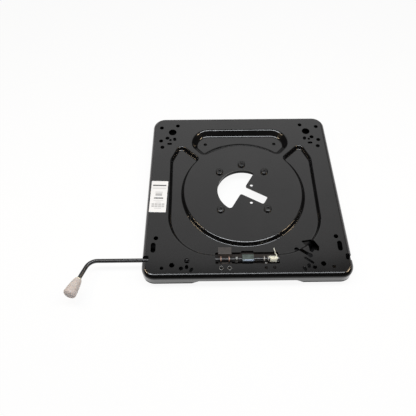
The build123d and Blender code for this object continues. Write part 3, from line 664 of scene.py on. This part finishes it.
def rounded_loop(half_width, half_length, corner, count):
    """Points round a rectangle with round corners: four quarter circles, count points each."""
    loops = []
    for turn, (sx, sy) in enumerate(((1, 1), (-1, 1), (-1, -1), (1, -1))):
        centre = (sx * (half_width - corner), sy * (half_length - corner))
        loops.append(arc(centre, (corner, corner), 90 * turn, 90 * turn + 90, count))
    return np.concatenate(loops)


def bolt_rings(turned, low, thread_high, shoulder, head, top, steps):
    """Bolt about an upright axis, as rings from its lower end up over the head and down into the socket.

    Below thread_high the radius is the shank less the thread's depth times a triangle wave of
    height / pitch - angle / full turn. The head's side curves in to a flat dome. The socket is a hexagon:
    its radius is half its width over the cosine of the angle to the nearest flat."""
    angle = np.linspace(0, 2 * np.pi, steps, endpoint=False)[None, :]
    height = np.linspace(low, thread_high, int(8 * (thread_high - low) / turned.pitch))[:, None]
    phase = height / turned.pitch - angle / (2 * np.pi)
    wave = np.abs(2 * (phase % 1.0) - 1)
    lead = np.clip((height - low) / turned.pitch, 0, 1)
    radius = (turned.shank - turned.thread_depth * wave) * (0.8 + 0.2 * lead)
    thread = np.stack([radius, np.broadcast_to(height, radius.shape)], axis=-1)
    edge = 0.35 * (top - shoulder)
    dome = 0.12 * (top - shoulder)
    rim = 0.56 * turned.socket / math.cos(math.pi / 6)
    side = np.array([(turned.shank, thread_high), (turned.shank, shoulder), (head - 0.0002, shoulder),
                     (head, shoulder + 0.0002)])
    shoulder_arc = arc((head - edge, top - edge - dome), (edge, edge), 0, 80, 10)
    crown_radius = np.linspace(shoulder_arc[-1, 0], rim, 5)[1:]
    crown_height = np.linspace(top - dome, top, 5)[1:]
    crown = np.column_stack([crown_radius, crown_height])
    outer = np.repeat(np.concatenate([side, shoulder_arc, crown])[:, None, :], steps, axis=1)
    to_flat = (angle + math.pi / 6) % (math.pi / 3) - math.pi / 6
    hexagon = 0.5 * turned.socket / np.cos(to_flat)
    wall = np.array([top - 0.0002, top - turned.socket_depth])[:, None]
    socket = np.stack([np.broadcast_to(hexagon, (2, steps)), np.broadcast_to(wall, (2, steps))], axis=-1)
    rings = np.concatenate([thread, outer, socket])
    return np.stack([rings[..., 0] * np.cos(angle), rings[..., 0] * np.sin(angle), rings[..., 1]], axis=-1)


def wire_rings(path, radius, steps):
    """Round wire along a path: a circle at each point, square to the path's direction there."""
    direction = np.gradient(path, axis=0)
    direction /= np.linalg.norm(direction, axis=1)[:, None]
    side = np.cross(direction, np.array([1.0, 0.0, 0.0]))
    side /= np.linalg.norm(side, axis=1)[:, None]
    upward = np.cross(direction, side)
    angle = np.linspace(0, 2 * np.pi, steps, endpoint=False)[None, :, None]
    return path[:, None] + radius * (np.cos(angle) * side[:, None] + np.sin(angle) * upward[:, None])


def even_path(points, spacing, window):
    """Path through the points at an even spacing, its corners rounded by a moving average."""
    lengths = np.concatenate([[0], np.cumsum(np.linalg.norm(np.diff(points, axis=0), axis=1))])
    places = np.linspace(0, lengths[-1], int(lengths[-1] / spacing))
    even = np.stack([np.interp(places, lengths, points[:, axis]) for axis in range(3)], axis=-1)
    padded = np.concatenate([np.repeat(even[:1], window, 0), even, np.repeat(even[-1:], window, 0)])
    kernel = np.ones(2 * window + 1) / (2 * window + 1)
    smooth = np.stack([np.convolve(padded[:, axis], kernel, "valid") for axis in range(3)], axis=-1)
    smooth[0] = even[0]
    smooth[-1] = even[-1]
    return smooth


def node_points(name):
    """All corner points of a CAD node."""
    mesh = frame["nodes"][name].data
    points = np.empty(3 * len(mesh.vertices))
    mesh.vertices.foreach_get("co", points)
    return points.reshape(-1, 3)


def knob_axis(turned):
    """Start of the knob's axis at its lip, directions with the axis last, its length and half width."""
    plan = turned.knob_plan
    rise = turned.knob_rise
    along = np.array([-math.cos(plan) * math.cos(rise), -math.sin(plan) * math.cos(rise), math.sin(rise)])
    first = np.cross(along, np.array([0.0, 0.0, 1.0]))
    first /= np.linalg.norm(first)
    second = np.cross(along, first)
    basis = np.stack([first, second, along])
    reach = node_points("lever_knob") @ basis.T
    middle = (reach.min(axis=0) + reach.max(axis=0)) / 2
    start = np.array([middle[0], middle[1], reach[:, 2].min()]) @ basis
    return start, basis, np.ptp(reach[:, 2]), np.ptp(reach[:, 0]) / 2


def put_material(material, *nodes):
    """Give CAD nodes this one material."""
    for name in nodes:
        piece = frame["nodes"][name]
        piece.data.materials.clear()
        piece.data.materials.append(material)


class SEATBASE_OT_coat_plates(bpy.types.Operator):
    """Coat the two pressed plates"""

    bl_idname = "seatbase.coat_plates"
    bl_label = "Coat plates"

    def execute(self, context):
        coat = context.scene.seatbase_coat
        put_material(plate_material(coat.plate, coat.plate_gloss), "upper_plate")
        put_material(base_material(coat.plate, coat.grease), "lower_plate")
        return {"FINISHED"}


class SEATBASE_OT_finish_hub(bpy.types.Operator):
    """Finish the hub's rings, washers and nuts"""

    bl_idname = "seatbase.finish_hub"
    bl_label = "Finish hub"

    def execute(self, context):
        coat = context.scene.seatbase_coat
        zinc = context.scene.seatbase_metal.zinc
        slide = context.scene.seatbase_plastic.slide
        bright = metal_material("hub_zinc", zinc, (0.42, 0.42, 0.38), metallic=0.9, roughness=0.34,
                                grain_scale=700.0)
        black = metal_material("hub_black", coat.hub, (0.030, 0.026, 0.022), metallic=0.9, roughness=0.45,
                               grain_scale=700.0)
        put_material(bright, "hub_washers", "hub_nuts")
        put_material(black, "hub_spacer", "clamp_ring")
        put_material(slide_material(slide), "upper_slide_ring", "lower_slide_ring")
        return {"FINISHED"}


class SEATBASE_OT_add_bolts(bpy.types.Operator):
    """Replace the hub's bolts by domed ones with a thread and a hexagon socket"""

    bl_idname = "seatbase.add_bolts"
    bl_label = "Add bolts"

    def execute(self, context):
        turned = context.scene.seatbase_turned
        circle = (BOLTS_HIGH.y - BOLTS_HIGH.x) / (1 - math.sqrt(0.5))
        head = BOLTS_HIGH.y - circle
        thread_share = 0.3
        thread_high = NUTS_LOW.z + thread_share * (NUTS_HIGH.z - NUTS_LOW.z)
        bolt = bolt_rings(turned, BOLTS_LOW.z, thread_high, PLATE_HIGH.z, head, BOLTS_HIGH.z, ROUND_STEPS)
        angles = np.radians((45, 90, 135, 225, 315))
        places = circle * np.stack([np.cos(angles), np.sin(angles), 0 * angles], axis=-1)
        material = blackened_material(context.scene.seatbase_coat.bolt)
        grids = [(bolt + place, True) for place in places]
        bolts = make_piece("turned_bolts", grids, material)
        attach(bolts, "turntable")
        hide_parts("hub_bolts")
        return {"FINISHED"}


class SEATBASE_OT_finish_latch(bpy.types.Operator):
    """Finish the rod, brackets, claw and small parts of the latch"""

    bl_idname = "seatbase.finish_latch"
    bl_label = "Finish latch"

    def execute(self, context):
        metal = context.scene.seatbase_metal
        dark_share = 0.30
        dark_zinc = tuple(dark_share * value for value in metal.zinc)
        collar = metal_material("collar_zinc", dark_zinc, (0.08, 0.08, 0.075), metallic=0.85, roughness=0.3,
                                grain_scale=900.0)
        screw = metal_material("screw_zinc", metal.zinc, (0.45, 0.45, 0.42), metallic=0.9, roughness=0.3,
                               grain_scale=900.0)
        put_material(rod_material(context.scene.seatbase_coat.rod), "lever_rod")
        put_material(bracket_material("left_steel", metal.bracket, metal.left_rim_highlight), "left_rod_bracket")
        put_material(bracket_material("right_steel", metal.bracket, metal.right_rim_highlight), "right_rod_bracket")
        put_material(claw_material(metal.claw, metal.claw_highlight), "latch_claw", "claw_pin")
        put_material(collar, "rod_collar", "end_washer", "end_clip")
        put_material(screw, "collar_screw")
        return {"FINISHED"}


class SEATBASE_OT_add_spring(bpy.types.Operator):
    """Replace the return spring by one wound from round wire, its coil as wide as the CAD spring"""

    bl_idname = "seatbase.add_spring"
    bl_label = "Add spring"

    def execute(self, context):
        turned = context.scene.seatbase_turned
        wire = turned.wire
        _, rod_y, rod_z = ROD_AXIS
        left = SPRING_LOW.x + wire
        right = SPRING_HIGH.x - wire
        turn = np.linspace(0, 2 * np.pi * turned.coil_turns, ROUND_STEPS * turned.coil_turns)
        coil = np.stack([left + (right - left) * turn / turn[-1], rod_y + turned.coil * np.sin(turn),
                         rod_z + turned.coil * np.cos(turn)], axis=-1)
        tail = np.array([(left, rod_y, rod_z + 0.3 * turned.coil)])
        points = node_points("return_spring")
        rest = points[points[:, 1] > SPRING_HIGH.y - wire, 2].mean()
        top = rod_z + turned.coil
        reach = turned.leg_reach
        leg = np.array([(right - 0.1 * turned.leg_shift, rod_y + 0.24 * reach, top),
                        (right - 0.66 * turned.leg_shift, rod_y + 0.45 * reach, 0.6 * top + 0.4 * rest),
                        (right - turned.leg_shift, rod_y + reach, rest)])
        path = even_path(np.concatenate([tail, coil, leg]), spacing=0.0006, window=2)
        metal = context.scene.seatbase_metal
        material = metal_material("spring_wire", metal.spring, (0.74, 0.73, 0.62), metallic=0.35,
                                  roughness=0.36, grain_scale=1200.0)
        grid = wire_rings(path, wire, steps=14)
        spring = make_piece("wound_spring", [(grid, True)], material)
        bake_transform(spring)
        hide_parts("return_spring")
        return {"FINISHED"}


class SEATBASE_OT_add_knob(bpy.types.Operator):
    """Replace the lever's knob by one with a swelling side, rolled edges and a dished end"""

    bl_idname = "seatbase.add_knob"
    bl_label = "Add knob"

    def execute(self, context):
        turned = context.scene.seatbase_turned
        start, basis, length, wide = knob_axis(turned)
        lip = 0.002
        neck = 0.57 * wide
        bore = 0.00405
        bore_end = lip + 0.024
        rounding = 0.006
        tip = 0.0004
        share = np.linspace(0, 1, 15)
        side = np.column_stack([neck + (wide - neck) * share + turned.knob_bulge * np.sin(math.pi * share),
                                lip + (length - lip - rounding) * share])
        tilt = math.degrees(math.atan2(wide - neck, length - lip))
        inside = np.array([(tip, bore_end), (bore, bore_end), (bore, 0.0003), (bore + 0.0003, 0)])
        lip_edge = arc((0.0050, 0.0005), (0.0004, 0.0005), -90, 0, 6)
        end = arc((wide - rounding, length - rounding), (rounding, rounding), -tilt, 90, 14)
        dish = np.array([(0.40 * wide, length - 0.0001), (0.30 * wide, length - 0.0005),
                         (tip, length - 0.0007)])
        neck_edge = np.array([(lip_edge[-1, 0], lip), (neck - 0.0008, lip), (neck - 0.0002, lip + 0.0003)])
        profile = np.concatenate([inside, lip_edge, neck_edge, side[1:-1], end, dish])
        points = revolve(profile, (0, 0), 64) @ basis + start
        plastic = context.scene.seatbase_plastic
        body_start = tuple(start + lip * basis[2])
        material = knob_material(plastic, body_start, tuple(basis[2]), length - lip)
        knob = make_piece("turned_knob", [(points, True)], material)
        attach(knob, "lever")
        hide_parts("lever_knob")
        return {"FINISHED"}


class SEATBASE_OT_add_label(bpy.types.Operator):
    """Stick a bare paper label on the plate"""

    bl_idname = "seatbase.add_label"
    bl_label = "Add label"

    def execute(self, context):
        settings = context.scene.seatbase_label
        half = (settings.width / 2, settings.length / 2)
        middle = (PLATE_LOW.x + settings.inset + half[0], -settings.ahead, PLATE_HIGH.z)
        turn = np.array([[math.cos(settings.turn), -math.sin(settings.turn)],
                         [math.sin(settings.turn), math.cos(settings.turn)]])
        outline = rounded_loop(*half, settings.corner, 6) @ turn
        rim = settings.thickness / 2
        levels = [(1.0, 0.0), (1.0, rim)]
        levels += [(scale, 2 * rim) for scale in (0.998, 0.66, 0.33, 0.02)]
        rings = [np.column_stack([outline * scale, np.full(len(outline), height)])
                 for scale, height in levels]
        points = np.stack(rings) + np.array(middle)
        label = make_piece("seat_label", [(points, True)], label_material(settings, middle))
        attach(label, "turntable")
        return {"FINISHED"}


class SEATBASE_OT_add_rivets(bpy.types.Operator):
    """Replace the bracket's rivets by hollow ones with rolled edges"""

    bl_idname = "seatbase.add_rivets"
    bl_label = "Add rivets"

    def execute(self, context):
        roll = context.scene.seatbase_turned.roll
        top = RIVETS_HIGH.z - roll
        low = RIVETS_LOW.z + roll
        flange = (RIVETS_HIGH.y - RIVETS_LOW.y) / 2
        bore = 0.56 * flange
        shank = 0.68 * flange
        middle = (bore + flange) / 2
        half = (flange - bore) / 2
        over = arc((middle, top), (half, roll), 180, 0, 13)
        under = arc((middle, low), (half, roll), 0, -180, 13)
        waist = np.array([(shank, top), (shank, low)])
        profile = np.concatenate([over, waist, under])[::-1]
        y = (RIVETS_LOW.y + RIVETS_HIGH.y) / 2
        places = [(RIVETS_LOW.x + flange, y), (RIVETS_HIGH.x - flange, y)]
        dark_share = 0.22
        zinc = tuple(dark_share * value for value in context.scene.seatbase_metal.zinc)
        material = metal_material("rivet_zinc", zinc, (0.05, 0.05, 0.05), metallic=0.85, roughness=0.40,
                                  grain_scale=900.0)
        grids = [(revolve(profile, place, ROUND_STEPS), False) for place in places]
        rivets = make_piece("rolled_rivets", grids, material)
        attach(rivets, "turntable")
        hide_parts("bracket_rivets")
        return {"FINISHED"}


class SEATBASE_OT_stage(bpy.types.Operator):
    """Set the floor, the lights, the surroundings and the camera"""

    bl_idname = "seatbase.stage"
    bl_label = "Set stage"

    def execute(self, context):
        stage = context.scene.seatbase_stage
        self.lay_floor(stage)
        self.light(stage)
        self.surround(stage)
        self.aim(stage)
        context.scene.view_settings.view_transform = "Standard"
        return {"FINISHED"}

    def lay_floor(self, stage):
        """Flat pale floor that camera, glossy and transmitted rays see nearly white, shadow kept.

        Glossy rays see it in its own shade under the plates, inside a rectangle with round corners."""
        corner = 0.034
        inset = 0.008
        edge = corner - 0.001
        white_share = 0.92
        half = stage.floor_half
        mesh = bpy.data.meshes.new("floor")
        corners = [(-half, -half, 0), (half, -half, 0), (half, half, 0), (-half, half, 0)]
        mesh.from_pydata(corners, [], [(0, 1, 2, 3)])
        floor = bpy.data.objects.new("floor", mesh)
        bpy.context.scene.collection.objects.link(floor)
        material, graph = new_material("floor_white")
        x, y, _ = graph.axes(graph.place())
        middle = (PLATE_LOW.y + PLATE_HIGH.y) / 2
        beside = (abs(x) - (PLATE_HIGH.x - inset - corner)).largest(0.0)
        beyond = (abs(y - middle) - (PLATE_HIGH.y - middle - corner)).largest(0.0)
        reach = (beside * beside + beyond * beyond) ** 0.5
        clear = reach.step(edge - 0.003, edge)
        seen = graph.add("ShaderNodeLightPath", output="Is Camera Ray")
        seen = seen.largest(graph.add("ShaderNodeLightPath", output="Is Glossy Ray") * clear)
        seen = seen.largest(graph.add("ShaderNodeLightPath", output="Is Transmission Ray"))
        matt = graph.add("ShaderNodeBsdfDiffuse", None, {"Color": colour(stage.floor_colour)})
        white = graph.add("ShaderNodeEmission", None, {"Color": (1, 1, 1, 1), "Strength": 1.0})
        mixed = graph.add("ShaderNodeMixShader", None, {0: seen * white_share, 1: matt, 2: white})
        graph.add("ShaderNodeOutputMaterial", None, {"Surface": mixed})
        mesh.materials.append(material)

    def light(self, stage):
        """Large soft lamp overhead, a little towards the camera, and a small warm one at each side."""
        key_place, key_size = (0.0, -0.10, 1.30), (1.3, 0.30)
        side_place, side_size = (0.70, -0.05, 0.85), (0.12, 0.32)
        self.lamp("key", key_place, key_size, stage.key_power, stage.key_tint)
        for side in (-1, 1):
            place = (side * side_place[0], *side_place[1:])
            self.lamp(f"side_{side + 1}", place, side_size, stage.side_power, stage.side_tint)

    def lamp(self, name, place, size, power, tint):
        """Rectangular lamp that faces the middle of the part."""
        data = bpy.data.lights.new(name, "AREA")
        data.shape = "RECTANGLE"
        data.size, data.size_y = size
        data.energy = power
        data.color = tint
        holder = bpy.data.objects.new(name, data)
        holder.location = place
        tilt = math.atan2(math.hypot(place[0], place[1]), place[2])
        holder.rotation_euler = (0, tilt, math.atan2(place[1], place[0])) if place[0] else (-tilt, 0, 0)
        bpy.context.scene.collection.objects.link(holder)

    def surround(self, stage):
        """Surroundings that are dim apart from a wide pale panel behind the seat, clear of the horizon."""
        world = bpy.data.worlds.new("studio")
        bpy.context.scene.world = world
        world.use_nodes = True
        graph = Graph(world.node_tree)
        x, y, _ = graph.axes(graph.add("ShaderNodeTexCoord", output="Generated"))
        brighter = 1.0 + y.step(0.5, 0.7) * 0.3
        fading = 1.0 - y.step(0.74, 0.92) * 0.75
        panel = y.step(0.416, 0.452) * brighter * fading * abs(x).step(0.50, 0.25)
        level = panel * stage.back_level + stage.low_level
        sky = graph.add("ShaderNodeBackground", None, {"Color": (1, 1, 1, 1), "Strength": level})
        graph.add("ShaderNodeOutputWorld", None, {"Surface": sky})

    def aim(self, stage):
        """Camera at its measured place, looking down and a little to the right."""
        data = bpy.data.cameras.new("camera")
        data.sensor_fit = "HORIZONTAL"
        data.sensor_width = SENSOR_WIDTH
        data.lens = stage.lens
        camera = bpy.data.objects.new("camera", data)
        camera.location = stage.camera
        camera.rotation_euler = (math.pi / 2 - stage.pitch, 0, -stage.yaw)
        bpy.context.scene.collection.objects.link(camera)
        bpy.context.scene.camera = camera


class SEATBASE_PT_panel(bpy.types.Panel):
    """Buttons and settings of the seat base"""

    bl_idname = "SEATBASE_PT_panel"
    bl_label = "Seat base"
    bl_space_type = "VIEW_3D"
    bl_region_type = "UI"
    bl_category = "Seat Base"

    def draw(self, context):
        layout = self.layout
        for operator in OPERATORS:
            layout.operator(operator.bl_idname)
        for key, group in GROUPS.items():
            box = layout.box()
            for name in group.__annotations__:
                box.prop(getattr(context.scene, key), name)


GROUPS = {
    "seatbase_label": LabelSettings,
    "seatbase_coat": CoatSettings,
    "seatbase_metal": MetalSettings,
    "seatbase_plastic": PlasticSettings,
    "seatbase_turned": TurnedSettings,
    "seatbase_stage": StageSettings,
}
OPERATORS = (
    SEATBASE_OT_coat_plates, SEATBASE_OT_finish_hub, SEATBASE_OT_add_bolts, SEATBASE_OT_finish_latch,
    SEATBASE_OT_add_spring, SEATBASE_OT_add_knob, SEATBASE_OT_add_label, SEATBASE_OT_add_rivets,
    SEATBASE_OT_stage,
)


def register():
    """Register the settings, the operators and the panel."""
    for key, group in GROUPS.items():
        bpy.utils.register_class(group)
        setattr(bpy.types.Scene, key, bpy.props.PointerProperty(type=group))
    for operator in OPERATORS:
        bpy.utils.register_class(operator)
    bpy.utils.register_class(SEATBASE_PT_panel)


def unregister():
    """Take them away again."""
    bpy.utils.unregister_class(SEATBASE_PT_panel)
    for operator in reversed(OPERATORS):
        bpy.utils.unregister_class(operator)
    for key, group in reversed(GROUPS.items()):
        delattr(bpy.types.Scene, key)
        bpy.utils.unregister_class(group)


def main():
    """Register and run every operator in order."""
    register()
    bpy.ops.seatbase.coat_plates()
    bpy.ops.seatbase.finish_hub()
    bpy.ops.seatbase.add_bolts()
    bpy.ops.seatbase.finish_latch()
    bpy.ops.seatbase.add_spring()
    bpy.ops.seatbase.add_knob()
    bpy.ops.seatbase.add_label()
    bpy.ops.seatbase.add_rivets()
    bpy.ops.seatbase.stage()


if __name__ == "__main__":
    main()
